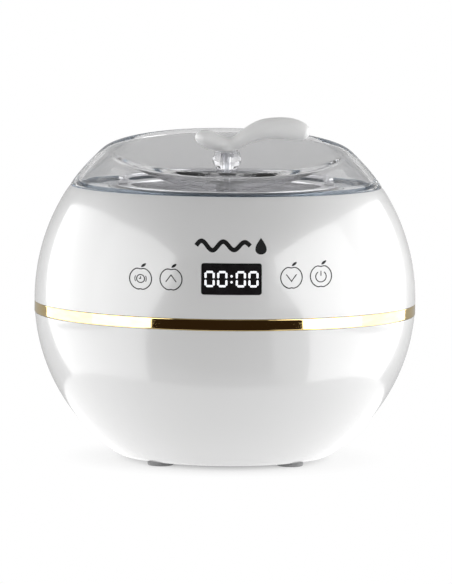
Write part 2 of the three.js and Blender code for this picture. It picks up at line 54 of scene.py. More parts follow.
# ---- Driving dimensions, in metres, from the frame where it has them ----
BAND_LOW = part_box("trim_band")[0].z
BAND_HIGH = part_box("trim_band")[1].z
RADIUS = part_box("trim_band")[1].x  # the apple at its widest
CENTRE_Z = 80 * MM  # height of the widest circle
RISE_BELOW = 93.5 * MM  # vertical half-axis of the lower half
RISE_ABOVE = 97.8 * MM  # vertical half-axis of the upper half
WALL = 2.4 * MM
BASE_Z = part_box("lower_housing")[0].z
BASE_RADIUS = 51.5 * MM
SEAM_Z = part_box("upper_housing")[1].z
SEAM_RADIUS = 77.4 * MM
LID_FOOT_Z = SEAM_Z + 0.3 * MM
LID_LIP_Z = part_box("lid_cap")[0].z
DISH_TILT = math.radians(7.3)  # the dish leans towards the front
DISH_EDGE_RADIUS = 57 * MM
POT_RIM_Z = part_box("inner_pot")[1].z
POT_FLOOR_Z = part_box("inner_pot")[0].z
POT_FLANGE_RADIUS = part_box("inner_pot")[1].x
POT_RADIUS = 47.5 * MM
WELL_TOP_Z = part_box("heating_well")[1].z
WELL_FLOOR_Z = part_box("heating_well")[0].z
DISPLAY_LOW, DISPLAY_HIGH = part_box("display_window")
DISPLAY_CENTRE_Z = (DISPLAY_LOW.z + DISPLAY_HIGH.z) / 2
BAIL_AXIS_Z = (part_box("bail_wire")[0].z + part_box("bail_wire")[1].z) / 2


# ---- Materials ----
def shader(name, color, roughness, metallic=0.0, **inputs):
    """A Principled material and its nodes, with any other socket set by name (spaces as underscores)."""
    made = bpy.data.materials.new(name)
    made.use_nodes = True
    tree = made.node_tree
    bsdf = tree.nodes["Principled BSDF"]
    bsdf.inputs["Base Color"].default_value = (*color, 1)
    bsdf.inputs["Roughness"].default_value = roughness
    bsdf.inputs["Metallic"].default_value = metallic
    for key, value in inputs.items():
        bsdf.inputs[key.replace("_", " ")].default_value = value
    return made, tree, bsdf


def noise_of(tree, scale, detail=3.0, stretch=(1, 1, 1)):
    """Noise in the object's own space; scale is in repeats per metre."""
    place = tree.nodes.new("ShaderNodeTexCoord")
    mapping = tree.nodes.new("ShaderNodeMapping")
    mapping.inputs["Scale"].default_value = stretch
    texture = tree.nodes.new("ShaderNodeTexNoise")
    texture.inputs["Scale"].default_value = scale
    texture.inputs["Detail"].default_value = detail
    tree.links.new(place.outputs["Object"], mapping.inputs["Vector"])
    tree.links.new(mapping.outputs["Vector"], texture.inputs["Vector"])
    return texture.outputs["Fac"]


def vary_roughness(tree, bsdf, source, low, high):
    spread = tree.nodes.new("ShaderNodeMapRange")
    spread.inputs["From Min"].default_value = 0.3
    spread.inputs["From Max"].default_value = 0.7
    spread.inputs["To Min"].default_value = low
    spread.inputs["To Max"].default_value = high
    tree.links.new(source, spread.inputs["Value"])
    tree.links.new(spread.outputs["Result"], bsdf.inputs["Roughness"])


def vary_color(tree, bsdf, source, first, second):
    ramp = tree.nodes.new("ShaderNodeValToRGB")
    ramp.color_ramp.elements[0].position = 0.35
    ramp.color_ramp.elements[0].color = (*first, 1)
    ramp.color_ramp.elements[1].position = 0.65
    ramp.color_ramp.elements[1].color = (*second, 1)
    tree.links.new(source, ramp.inputs["Fac"])
    tree.links.new(ramp.outputs["Color"], bsdf.inputs["Base Color"])


def shade(color, factor):
    return tuple(min(1, c * factor) for c in color)


def bump(tree, bsdf, source, strength, distance):
    node = tree.nodes.new("ShaderNodeBump")
    node.inputs["Strength"].default_value = strength
    node.inputs["Distance"].default_value = distance
    tree.links.new(source, node.inputs["Height"])
    tree.links.new(node.outputs["Normal"], bsdf.inputs["Normal"])


def gloss_white():
    """Piano-white moulding: faint shade drift, an even gloss with a trace of orange peel."""
    made, tree, bsdf = shader("gloss_white", (0.83, 0.83, 0.83), 0.24, Coat_Weight=0.7, Coat_Roughness=0.08)
    vary_color(tree, bsdf, noise_of(tree, 14, 2), (0.825, 0.825, 0.822), (0.84, 0.84, 0.84))
    vary_roughness(tree, bsdf, noise_of(tree, 60, 4), 0.205, 0.268)
    bump(tree, bsdf, noise_of(tree, 260, 2), 0.02, 0.05 * MM)
    return made


def gilt_metal():
    """Mirror gold plating with a hair of turned grain."""
    made, tree, bsdf = shader("gilt", (0.83, 0.64, 0.3), 0.05, 1.0)
    vary_color(tree, bsdf, noise_of(tree, 90, 3, (1, 1, 4)), (0.82, 0.62, 0.27), (0.85, 0.66, 0.32))
    vary_roughness(tree, bsdf, noise_of(tree, 400, 3, (0.2, 0.2, 6)), 0.03, 0.08)
    return made


def clear_plastic(name, color, bend, gloss=1.0, bands=()):
    """Clear acrylic with a gloss skin, which lets the lamps' light through; bend is how much it refracts.

    bands, where given, colour it by height, as paint_by_height says; on the petals they paint a dark belt of
    refraction shade.
    """
    made, tree, bsdf = shader(name, color, 0.02, IOR=bend, Transmission_Weight=1.0, Coat_Weight=gloss,
                              Coat_Roughness=0.015)
    vary_roughness(tree, bsdf, noise_of(tree, 45, 3), 0.01, 0.04)
    if bands:
        paint_by_height(tree, bsdf, bands)
    through = tree.nodes.new("ShaderNodeBsdfTransparent")
    through.inputs["Color"].default_value = (*(math.sqrt(c) for c in color), 1)
    path = tree.nodes.new("ShaderNodeLightPath")
    mix = tree.nodes.new("ShaderNodeMixShader")
    out = tree.nodes["Material Output"]
    tree.links.new(path.outputs["Is Shadow Ray"], mix.inputs["Fac"])
    tree.links.new(bsdf.outputs["BSDF"], mix.inputs[1])
    tree.links.new(through.outputs["BSDF"], mix.inputs[2])
    tree.links.new(mix.outputs["Shader"], out.inputs["Surface"])
    return made


def paint_by_height(tree, bsdf, bands):
    """Paints colour on a piece by height in its own space: bands are (height, color), lowest first."""
    low, high = bands[0][0], bands[-1][0]
    place = tree.nodes.new("ShaderNodeTexCoord")
    split = tree.nodes.new("ShaderNodeSeparateXYZ")
    span = tree.nodes.new("ShaderNodeMapRange")
    span.inputs["From Min"].default_value = low
    span.inputs["From Max"].default_value = high
    ramp = tree.nodes.new("ShaderNodeValToRGB")
    stops = ramp.color_ramp.elements
    stops[0].color = (*bands[0][1], 1)
    stops[1].color = (*bands[-1][1], 1)
    for height, tint in bands[1:-1]:
        stops.new((height - low) / (high - low)).color = (*tint, 1)
    tree.links.new(place.outputs["Object"], split.inputs["Vector"])
    tree.links.new(split.outputs["Z"], span.inputs["Value"])
    tree.links.new(span.outputs["Result"], ramp.inputs["Fac"])
    tree.links.new(ramp.outputs["Color"], bsdf.inputs["Base Color"])


def milk_white():
    """Milky moulding that takes a little light into itself, with a faint painted glow that lightens it all
    over.
    """
    # painted glow: weak white emission brightens the leaf, which is no lamp
    made, tree, bsdf = shader("milk_white", (0.8, 0.8, 0.795), 0.33, Subsurface_Weight=0.85,
                              Subsurface_Radius=(1, 1, 1), Subsurface_Scale=5 * MM, Coat_Weight=0.25,
                              Coat_Roughness=0.12, Specular_IOR_Level=0.35, Emission_Strength=0.1)
    bsdf.inputs["Emission Color"].default_value = (1, 1, 1, 1)
    vary_color(tree, bsdf, noise_of(tree, 60, 2), (0.785, 0.785, 0.78), (0.815, 0.815, 0.81))
    vary_roughness(tree, bsdf, noise_of(tree, 120, 3), 0.29, 0.38)
    bump(tree, bsdf, noise_of(tree, 500, 2), 0.03, 0.05 * MM)
    return made


def black_lens():
    """Black lens with a soft smoky depth and fine dust-like gloss changes."""
    made, tree, bsdf = shader("black_lens", (0.01, 0.01, 0.012), 0.12, Coat_Weight=1.0, Coat_Roughness=0.03)
    vary_color(tree, bsdf, noise_of(tree, 200, 2), (0.008, 0.008, 0.01), (0.014, 0.014, 0.016))
    vary_roughness(tree, bsdf, noise_of(tree, 900, 3), 0.08, 0.18)
    return made


def printed_ink(name, color):
    made, tree, bsdf = shader(name, color, 0.4, Specular_IOR_Level=0.2)
    paler = tuple(min(1, c * 1.3 + 0.002) for c in color)
    vary_color(tree, bsdf, noise_of(tree, 1500, 2), color, paler)
    vary_roughness(tree, bsdf, noise_of(tree, 1200, 2), 0.3, 0.5)
    return made


def lit_digit():
    made, tree, bsdf = shader("lit_digit", (0.85, 0.86, 0.87), 0.4, Emission_Strength=0.55)
    bsdf.inputs["Emission Color"].default_value = (0.92, 0.95, 1, 1)
    vary_color(tree, bsdf, noise_of(tree, 1200, 2), (0.82, 0.83, 0.84), (0.88, 0.89, 0.9))
    return made


def turned_metal(name, color, roughness, grain):
    """Spun or drawn metal with rings of grain about the axis."""
    made, tree, bsdf = shader(name, color, roughness, 1.0)
    rings = noise_of(tree, grain, 3, (0.06, 0.06, 1))
    vary_roughness(tree, bsdf, rings, roughness * 0.75, roughness * 1.35)
    vary_color(tree, bsdf, noise_of(tree, 70, 3), shade(color, 0.95), shade(color, 1.05))
    bump(tree, bsdf, rings, 0.04, 0.05 * MM)
    return made


def matte(name, color, roughness, grain=900, depth=0.15):
    """Moulded plastic, rubber, felt or board: fine grain and a faint change of shade."""
    made, tree, bsdf = shader(name, color, roughness)
    vary_color(tree, bsdf, noise_of(tree, grain / 6, 3), shade(color, 0.88), shade(color, 1.12))
    bump(tree, bsdf, noise_of(tree, grain, 3), depth, 0.1 * MM)
    return made


SMOKE = (0.69, 0.69, 0.693)  # the lid's faint smoky tint
# painted shade: the dark blue-grey of the lid's foot stands for the shade in the gap at the seam
LIP_PAINTED_SHADE = (0.13, 0.17, 0.22)
WATER_CLEAR = (0.95, 0.95, 0.96)
PETAL_PAINTED_REFRACTION_BANDS = (  # clear petals with a painted dark belt, standing in for the dark refraction their faceted walls show
    (133 * MM, WATER_CLEAR), (134.8 * MM, (0.9, 0.9, 0.92)), (135.6 * MM, (0.01, 0.01, 0.012)),
    (138.6 * MM, (0.02, 0.02, 0.025)), (139.4 * MM, WATER_CLEAR), (143 * MM, (1, 1, 1)))

MATERIALS = {
    "white_gloss": gloss_white(),
    "gilt": gilt_metal(),
    "clear_lid": clear_plastic("clear_lid", SMOKE, 1.05, 0.8),
    # the lid's foot: clear plastic darkened to a painted seam shade
    "clear_lip": clear_plastic("clear_lip", LIP_PAINTED_SHADE, 1.05, 0.8),
    "clear_trim": clear_plastic("clear_trim", (0.93, 0.93, 0.95), 1.4),
    # the petals' dark belt is painted refraction shade, set by height
    "clear_petal": clear_plastic("clear_petal", WATER_CLEAR, 1.08, 1.0, PETAL_PAINTED_REFRACTION_BANDS),
    "milk_white": milk_white(),
    "black_lens": black_lens(),
    "pot_aluminium": turned_metal("pot_aluminium", (0.9, 0.9, 0.91), 0.2, 700),
    "well_aluminium": turned_metal("well_aluminium", (0.7, 0.71, 0.73), 0.38, 500),
    "steel": turned_metal("steel", (0.62, 0.63, 0.64), 0.38, 900),
    "bail_steel": turned_metal("bail_steel", (0.74, 0.74, 0.76), 0.12, 900),
    "black_plastic": matte("black_plastic", (0.02, 0.02, 0.022), 0.45),
    "rubber_grey": matte("rubber_grey", (0.3, 0.3, 0.305), 0.75, 1200, 0.3),
    "circuit": matte("circuit", (0.03, 0.17, 0.08), 0.4, 500),
    "felt": matte("felt", (0.62, 0.58, 0.5), 0.95, 1500, 0.8),
    "heater": matte("heater", (0.4, 0.12, 0.06), 0.6, 700),
    "contact": turned_metal("contact", (0.75, 0.6, 0.3), 0.38, 900),
    "lead": matte("lead", (0.72, 0.71, 0.68), 0.55, 700),
    "ink": printed_ink("ink", (0.004, 0.004, 0.0045)),
    "digit": lit_digit(),
}


# ---- Mesh tools ----
def finish_piece(name, mesh, slot, body, replaced=(), surface=None, sharp=38):
    """Makes mesh into a piece that rides on body and takes the slot's material."""
    piece = bpy.data.objects.new(name, mesh)
    bpy.context.scene.collection.objects.link(piece)
    mesh.materials.clear()
    mesh.materials.append(MATERIALS[surface or slot])
    mesh.shade_smooth()
    mesh.set_sharp_from_angle(angle=math.radians(sharp))
    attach(piece, body)
    if replaced:
        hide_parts(*replaced)
    return piece


def mesh_of(name, vertices, faces):
    mesh = bpy.data.meshes.new(name)
    mesh.from_pydata(vertices, [], faces)
    mesh.validate()
    bm = bmesh.new()
    bm.from_mesh(mesh)
    bmesh.ops.recalc_face_normals(bm, faces=bm.faces)
    bm.to_mesh(mesh)
    bm.free()
    return mesh


def rounded(corners, steps=6):
    """A profile through corners of (r, z) or (r, z, fillet), with each filleted corner turned into an arc.

    A point just outside each end of an arc keeps the flats beside it flat when they are shaded smooth.
    """
    points = []
    count = len(corners)
    for i, corner in enumerate(corners):
        here = Vector(corner[:2])
        radius = corner[2] if len(corner) > 2 else 0
        back = Vector(corners[i - 1][:2]) - here
        ahead = Vector(corners[(i + 1) % count][:2]) - here
        if radius <= 0 or back.length < 1e-9 or ahead.length < 1e-9:
            points.append(here)
            continue
        half = back.angle(ahead) / 2
        reach = min(radius / math.tan(half), back.length * 0.49, ahead.length * 0.49)
        start = here + back.normalized() * reach
        end = here + ahead.normalized() * reach
        points.append(start + back.normalized() * min(reach * 0.3, back.length * 0.01))
        for k in range(steps + 1):
            t = k / steps
            points.append(start * (1 - t) ** 2 + here * (2 * t * (1 - t)) + end * t * t)
        points.append(end + ahead.normalized() * min(reach * 0.3, ahead.length * 0.01))
    return points


def revolve(name, profile, segments=192, move=None):
    """Turns a closed profile of (r, z) about Z, with poles on the axis. move(point) bends the result."""
    vertices, rings = [], []
    for r, z in profile:
        if r < 1e-7:
            rings.append([len(vertices)] * segments)
            vertices.append(Vector((0, 0, z)))
            continue
        rings.append(list(range(len(vertices), len(vertices) + segments)))
        vertices += [Vector((r * math.cos(TURN * k / segments), r * math.sin(TURN * k / segments), z))
                     for k in range(segments)]
    faces = []
    for i, ring in enumerate(rings):
        following = rings[(i + 1) % len(rings)]
        if len(set(ring)) == 1 and len(set(following)) == 1:
            continue
        for k in range(segments):
            n = (k + 1) % segments
            face = list(dict.fromkeys([ring[k], ring[n], following[n], following[k]]))
            faces.append(face)
    if move:
        vertices = [move(v) for v in vertices]
    return mesh_of(name, vertices, faces)


def tube(name, points, radius, sides=20, steps=10):
    """A round tube with flat-capped ends along a smooth curve through the points."""
    curve = bpy.data.curves.new(name, "CURVE")
    curve.dimensions = "3D"
    curve.bevel_depth = radius
    curve.bevel_resolution = sides // 4
    curve.use_fill_caps = True
    curve.resolution_u = steps
    spline = curve.splines.new("BEZIER")
    spline.bezier_points.add(len(points) - 1)
    for knot, place in zip(spline.bezier_points, points):
        knot.co = place
        knot.handle_left_type = knot.handle_right_type = "AUTO"
    return converted(name, curve)


def converted(name, data, *modifiers):
    """The plain mesh of a curve or mesh once its modifiers, each (kind, settings), are applied."""
    holder = bpy.data.objects.new(name, data)
    bpy.context.scene.collection.objects.link(holder)
    for kind, settings in modifiers:
        modifier = holder.modifiers.new(kind, kind)
        for key, value in settings.items():
            setattr(modifier, key, value)
    graph = bpy.context.evaluated_depsgraph_get()
    mesh = bpy.data.meshes.new_from_object(holder.evaluated_get(graph))
    bpy.data.objects.remove(holder)
    return mesh


def carve(name, mesh, cutters, operation="DIFFERENCE"):
    """The mesh with each cutter mesh taken out of it, or joined to it."""
    for cutter in cutters:
        tool = bpy.data.objects.new(name + "_cutter", cutter)
        bpy.context.scene.collection.objects.link(tool)
        mesh = converted(name, mesh, ("BOOLEAN", {"object": tool, "operation": operation, "solver": "EXACT"}))
        bpy.data.objects.remove(tool)
    return mesh


def box_mesh(name, low, high, bevel=0.0, segments=3):
    bm = bmesh.new()
    bmesh.ops.create_cube(bm, size=1)
    size = Vector(high) - Vector(low)
    bmesh.ops.scale(bm, vec=size, verts=bm.verts)
    bmesh.ops.translate(bm, vec=Vector(low) + size / 2, verts=bm.verts)
    if bevel:
        bmesh.ops.bevel(bm, geom=bm.edges[:], offset=bevel, segments=segments, profile=0.5, affect="EDGES")
    mesh = bpy.data.meshes.new(name)
    bm.to_mesh(mesh)
    bm.free()
    return mesh


def joined(name, meshes):
    bm = bmesh.new()
    for mesh in meshes:
        bm.from_mesh(mesh)
    whole = bpy.data.meshes.new(name)
    bm.to_mesh(whole)
    bm.free()
    return whole


# ---- The apple ----
def apple_radius(z, inset=0.0):
    rise = (RISE_BELOW if z < CENTRE_Z else RISE_ABOVE) - inset
    return (RADIUS - inset) * math.sqrt(max(0.0, 1 - ((z - CENTRE_Z) / rise) ** 2))


def apple_side(start, end, steps, inset=0.0):
    heights = (start + (end - start) * k / steps for k in range(steps + 1))
    return [(apple_radius(z, inset), z) for z in heights]


def apple_normal(point):
    rise = RISE_BELOW if point.z < CENTRE_Z else RISE_ABOVE
    slope = Vector((point.x / RADIUS ** 2, point.y / RADIUS ** 2, (point.z - CENTRE_Z) / rise ** 2))
    return slope.normalized()


def on_front(x, z, proud=0.0):
    """The point of the housing's front at x and z, moved out along the surface by proud."""
    point = Vector((x, -math.sqrt(apple_radius(z) ** 2 - x * x), z))
    return point + apple_normal(point) * proud


def fair_normals(mesh):
    """Gives the outer skin the apple's true normals, so that its gloss runs evenly past any cut."""
    normals = [Vector(n.vector) for n in mesh.corner_normals]
    for polygon in mesh.polygons:
        for corner in polygon.loop_indices:
            point = mesh.vertices[mesh.loops[corner].vertex_index].co
            true = apple_normal(point)
            off = abs(math.hypot(point.x, point.y) - apple_radius(point.z))
            if off < 0.02 * MM and true.dot(polygon.normal) > 0.9:
                normals[corner] = true
    mesh.normals_split_custom_set(normals)


def lean(point):
    """Leans a point that is drawn upright on the lid's axis towards the front, about the apple's middle."""
    return lean_by(point, 1.0)


def lean_by(point, share):
    middle = Vector((0, 0, CENTRE_Z))
    return Matrix.Rotation(DISH_TILT * share, 3, "X") @ (point - middle) + middle


def smoothstep(value, low, high):
    t = min(1.0, max(0.0, (value - low) / (high - low)))
    return t * t * (3 - 2 * t)


def lean_lid(point):
    """The lid's dish leans as a whole; its skirt leans less and less down to the seam."""
    if math.hypot(point.x, point.y) < DISH_EDGE_RADIUS:
        return lean(point)
    return lean_by(point, smoothstep(point.z, 138 * MM, 152.5 * MM))


def smooth(points, steps=6):
    """A Catmull-Rom curve through the points, ends kept."""
    knots = [Vector(p) for p in points]
    knots = [knots[0] * 2 - knots[1], *knots, knots[-1] * 2 - knots[-2]]
    run = []
    for a, b, c, d in zip(knots, knots[1:], knots[2:], knots[3:]):
        for k in range(steps):
            t = k / steps
            bend, twist = a * 2 - b * 5 + c * 4 - d, b * 3 - a - c * 3 + d
            run.append((b * 2 + (c - a) * t + bend * t * t + twist * t ** 3) / 2)
    return run + [knots[-2]]


def mm(*pairs):
    return [tuple(v * MM for v in pair) for pair in pairs]


# ---- Housing ----
INLET_LOW, INLET_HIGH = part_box("power_inlet")
INLET_Z = (INLET_LOW.z + INLET_HIGH.z) / 2
RECESS = Vector((12 * MM, 0, 8 * MM))  # half sizes of the recess round the inlet
CORNERS = ("front_left", "front_right", "rear_left", "rear_right")
FOOT_PLACES = {corner: sum(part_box("foot_" + corner), Vector()) / 2 for corner in CORNERS}


def lower_housing():
    top = BAND_LOW - 0.1 * MM
    tongue = RADIUS - 1.9 * MM
    bowl = revolve("lower_housing_detail", rounded([
        (0, BASE_Z), (BASE_RADIUS, BASE_Z, 1.6 * MM), *apple_side(4 * MM, top, 44),
        (tongue, top), (tongue, BAND_LOW + 1.7 * MM, 0.2 * MM),
        (RADIUS - 4.2 * MM, BAND_LOW + 1.7 * MM, 0.2 * MM),
        *apple_side(70 * MM, 13 * MM, 24, WALL), (BASE_RADIUS, BASE_Z + WALL, 2 * MM), (0, BASE_Z + WALL),
    ]), 256)
    side, half_height = RECESS.x + 1.6 * MM, RECESS.z + 1.6 * MM
    sleeve = box_mesh("sleeve", (-side, INLET_LOW.y + 4 * MM, INLET_Z - half_height),
                      (side, RADIUS, INLET_Z + half_height), 1 * MM)
    within = revolve("within", [(0, BASE_Z), *apple_side(8 * MM, top, 60), (0, top)], 256)
    sleeve = carve("sleeve", sleeve, [within], "INTERSECT")
    shell = carve("lower_housing_detail", bowl, [sleeve], "UNION")
    recess = box_mesh("recess", (-RECESS.x, INLET_LOW.y - 1 * MM, INLET_Z - RECESS.z),
                      (RECESS.x, RADIUS + 5 * MM, INLET_Z + RECESS.z), 1.5 * MM)
    vents = []
    for x in (-14, -7, 0, 7, 14):
        vents.append(box_mesh("vent", ((x - 1.5) * MM, -12 * MM, -MM),
                              ((x + 1.5) * MM, 12 * MM, BASE_Z + WALL + MM), 1.2 * MM))
    sockets = []
    socket_radius, socket_top = 6.9 * MM, BASE_Z + 1.4 * MM
    for place in FOOT_PLACES.values():
        profile = [(0, -MM), (socket_radius, -MM), (socket_radius, socket_top), (0, socket_top)]
        socket = revolve("socket", profile, 48)
        socket.transform(Matrix.Translation((place.x, place.y, 0)))
        sockets.append(socket)
    shell = carve("lower_housing_detail", shell, [recess, *vents, *sockets])
    finish_piece("lower_housing_detail", shell, "white_gloss", "housing", ["lower_housing"])
    fair_normals(shell)


def window_block(margin):
    grow = Vector((margin, 6 * MM, margin))
    return box_mesh("window", DISPLAY_LOW - grow, DISPLAY_HIGH + grow, 0.9 * MM + margin)


def upper_housing():
    low = BAND_HIGH + 0.1 * MM
    tongue = RADIUS - 1.9 * MM
    shell = revolve("upper_housing_detail", rounded([
        *apple_side(low, 134 * MM, 48), (SEAM_RADIUS, SEAM_Z, 0.6 * MM), (75.2 * MM, SEAM_Z, 0.4 * MM),
        *[(r * MM, z * MM, f * MM) for r, z, f in
          [(75, 133.2, 0.5), (71.5, 133.2, 0.5), (69.5, 134.6, 1), (58.6, 134.6, 0.5), (58.6, 133.4, 0.2),
           (52.4, 133.4, 0.3), (52.4, 131, 0.3)]],
        *apple_side(131 * MM, BAND_HIGH + 2 * MM, 24, WALL),
        (RADIUS - 4.2 * MM, BAND_HIGH - 1.9 * MM), (tongue, BAND_HIGH - 1.9 * MM), (tongue, low),
    ]), 256)
    shell = carve("upper_housing_detail", shell, [window_block(0.3 * MM)])
    posts = []
    for sx in (-1, 1):
        for sy in (-1, 1):
            post = revolve("post", rounded(mm((1.8, 58.6), (4, 58.6, 0.4), (4, 131.4), (1.8, 131.4))), 40)
            post.transform(Matrix.Translation((sx * 48.2 * MM, sy * 48.2 * MM, 0)))
            posts.append(post)
    shell = joined("upper_housing_detail", [shell, *posts])
    finish_piece("upper_housing_detail", shell, "white_gloss", "housing", ["upper_housing"])
    fair_normals(shell)


def display_lens():
    low, high = 86 * MM, 108 * MM
    skin = revolve("lens_skin", [*apple_side(low, high, 40), *apple_side(high, low, 40, WALL)], 384)
    lens = carve("display_lens", skin, [window_block(0)], "INTERSECT")
    finish_piece("display_lens", lens, "black_lens", "housing", ["display_window"])
    fair_normals(lens)


def trim_band():
    face, tongue = RADIUS, RADIUS - 4.2 * MM
    neck = RADIUS - 1.6 * MM
    band = revolve("trim_band_detail", rounded([
        (neck, BAND_LOW), (face, BAND_LOW, 0.5 * MM), (face, BAND_HIGH, 0.5 * MM), (neck, BAND_HIGH),
        (neck, BAND_HIGH - 2.2 * MM), (tongue, BAND_HIGH - 2.2 * MM),
        (tongue, BAND_LOW + 2 * MM), (neck, BAND_LOW + 2 * MM),
    ], 5), 384)
    finish_piece("trim_band_detail", band, "gilt", "housing", ["trim_band"])


def feet():
    for corner, place in FOOT_PLACES.items():
        foot = revolve("foot_" + corner + "_detail", rounded(mm(
            (0, 0), (2.6, 0), (3.2, 0.5, 0.3), (4, 0.5, 0.3), (4.6, 0, 0.3), (6.5, 0, 1), (6.5, 3, 0.6),
            (3.4, 3, 0.3), (3.1, 10, 0.6), (0, 10))), 64)
        foot.transform(Matrix.Translation((place.x, place.y, 0)))
        finish_piece("foot_" + corner + "_detail", foot, "rubber_grey", "housing", ["foot_" + corner])


def pointed_back(mesh, x, y):
    """Turns a mesh drawn about Z towards the back and stands it at x and y on the inlet's line."""
    mesh.transform(Matrix.Translation((x, y, INLET_Z)) @ Matrix.Rotation(-math.pi / 2, 4, "X"))


def power_inlet():
    """The inlet's body with a figure-eight mouth, and two rounded pins."""
    body = box_mesh("inlet", INLET_LOW, INLET_HIGH, 0.8 * MM)
    mouth_radius, apart, floor_y = 3.9 * MM, 3.3 * MM, INLET_HIGH.y - 10 * MM
    mouths = []
    for side in (-1, 1):
        mouth = revolve("mouth", [(0, 0), (mouth_radius, 0), (mouth_radius, 12 * MM), (0, 12 * MM)], 48)
        pointed_back(mouth, side * apart, floor_y)
        mouths.append(mouth)
    slot_low = (-apart, floor_y, INLET_Z - 3.4 * MM)
    slot = box_mesh("slot", slot_low, (apart, INLET_HIGH.y + MM, INLET_Z + 3.4 * MM))
    body = carve("power_inlet_detail", body, [*mouths, slot])
    finish_piece("power_inlet_detail", body, "black_plastic", "housing", ["power_inlet"])
    for side in ("left", "right"):
        low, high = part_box("inlet_pin_" + side)
        length = high.y - low.y
        pin = revolve("pin", rounded([(0, 0), (1.2 * MM, 0), (1.2 * MM, length, 0.8 * MM), (0, length)]), 32)
        pointed_back(pin, (low.x + high.x) / 2, low.y)
        finish_piece("inlet_pin_" + side + "_detail", pin, "steel", "housing", ["inlet_pin_" + side])


# ---- Printed marks and digits ----
def ribbon(points, width, closed=False):
    """Quads in the x-z plane along a line, with mitred corners."""
    knots = [Vector(p) for p in points]
    count = len(knots)
    edges = []
    for i, here in enumerate(knots):
        back = knots[i - 1] if closed or i > 0 else here * 2 - knots[i + 1]
        ahead = knots[(i + 1) % count] if closed or i < count - 1 else here * 2 - back
        first, second = (here - back).normalized(), (ahead - here).normalized()
        across = Vector((-(first + second).y, (first + second).x)).normalized()
        reach = width / 2 / max(0.4, across.dot(Vector((-first.y, first.x))))
        edges.append((here + across * reach, here - across * reach))
    pairs = list(zip(edges, edges[1:] + edges[:1]))
    return [[a[0], a[1], b[1], b[0]] for a, b in (pairs if closed else pairs[:-1])]


def arc(centre, radius, start, end, steps=24):
    return [(centre[0] + radius * math.sin(a), centre[1] + radius * math.cos(a))
            for a in (math.radians(start + (end - start) * k / steps) for k in range(steps + 1))]


def print_on_front(name, polygons, slot, surface, thickness=0.05 * MM):
    """Thin raised print on the housing's front, from polygons of (x, z) in metres."""
    bm = bmesh.new()
    for polygon in polygons:
        bm.faces.new([bm.verts.new((x, 0, z)) for x, z in polygon])
    bmesh.ops.remove_doubles(bm, verts=bm.verts, dist=1e-6)
    top = bmesh.ops.extrude_face_region(bm, geom=bm.faces[:])["geom"]
    raised = {v for v in top if isinstance(v, bmesh.types.BMVert)}
    for vertex in bm.verts:
        vertex.co = on_front(vertex.co.x, vertex.co.z, thickness if vertex in raised else -thickness)
    bmesh.ops.recalc_face_normals(bm, faces=bm.faces)
    mesh = bpy.data.meshes.new(name)
    bm.to_mesh(mesh)
    bm.free()
    finish_piece(name, mesh, slot, "housing", surface=surface, sharp=30)


def shifted(polygons, x, z):
    """The polygons, drawn in millimetres, in metres about x and z."""
    return [[(x + px * MM, z + pz * MM) for px, pz in polygon] for polygon in polygons]


def fruit_outline():
    """A plain round fruit in outline: dimples above and below, and one small leaf standing clear of it."""
    line = []
    for k in range(96):
        t = TURN * k / 96 - math.pi
        dimple = 0.13 * math.exp(-((t / 0.28) ** 2)) + 0.07 * math.exp(-(((abs(t) - math.pi) / 0.16) ** 2))
        reach = 5.25 * (1 - dimple)
        line.append((reach * math.sin(t), reach * math.cos(t)))
    along, across = Vector((0.8, 0.6)), Vector((-0.6, 0.8))
    leaf = []
    for k in range(24):
        a = TURN * k / 24
        width = 0.62 * math.sin(a) * abs(math.sin(a)) ** 0.5
        leaf.append(Vector((1.4, 6.4)) + along * (1.5 * math.cos(a)) + across * width)
    return ribbon(line, 0.5, closed=True) + [leaf]


def key_symbols():
    clock = ribbon(arc((0, 0), 1.9, 0, 345), 0.42, closed=True) + ribbon([(0, 1.1), (0, 0), (-0.8, 0)], 0.4)
    for side in (-1, 1):
        clock += ribbon(arc((0, 0), 2.75, side * 60, side * 120, 8), 0.36)
    up = ribbon([(-2.5, -1.3), (0, 2.0), (2.5, -1.3)], 0.46)
    down = ribbon([(-2.5, 1.5), (0, -1.8), (2.5, 1.5)], 0.46)
    power = ribbon(arc((0, -0.2), 2.6, 35, 325), 0.46) + ribbon([(0, 0.1), (0, 2.5)], 0.46)
    return clock, up, down, power


def key_marks():
    """The four marks stand over their touch springs, along a line that rises a little to the right."""
    rise = math.tan(math.radians(1.2))
    polygons = []
    for number, symbol in enumerate(key_symbols(), 1):
        low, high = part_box("touch_spring_%d" % number)
        middle = (low + high) / 2
        polygons += shifted(fruit_outline() + symbol, middle.x, middle.z + middle.x * rise)
    print_on_front("key_marks", polygons, "black_plastic", "ink")


def wax_mark():
    """A plain mark over the display: a bold ribbon of wax and a drop."""
    steps = 60
    wave = []
    for k in range(steps + 1):
        t = k / steps
        wave.append((-17 + 26 * t, 2.3 * math.sin(t * 5 * math.pi) * (1 - 0.25 * t)))
    drop = [(14.2 + 3.7 * math.sin(a) * math.sin(a / 2) ** 1.2, -0.1 + 3.9 * math.cos(a))
            for a in (TURN * k / 36 for k in range(36))]
    print_on_front("wax_mark", shifted(ribbon(wave, 2.1) + [drop], 0, 113.6 * MM), "black_plastic", "ink")


def display_digits():
    """Four unlit-style noughts of six segments each, with a colon."""
    half_width, half_height, stroke = 1.95, 3.35, 1.05
    gap = 0.22
    polygons = []
    for centre in (-10.55, -4.45, 4.45, 10.55):
        for side in (-1, 1):
            x = centre + side * half_width
            for lift in (-1, 1):
                polygons += segment((x, lift * gap * 1.6), (x, lift * (half_height - gap)), stroke)
            reach, z = half_width - gap, side * half_height
            polygons += segment((centre - reach, z), (centre + reach, z), stroke)
    for z in (-1.4, 1.4):
        polygons.append(arc((0, z), 0.6, 0, 330, 11))
    print_on_front("display_digits", shifted(polygons, 0, DISPLAY_CENTRE_Z), "black_lens", "digit", 0.06 * MM)


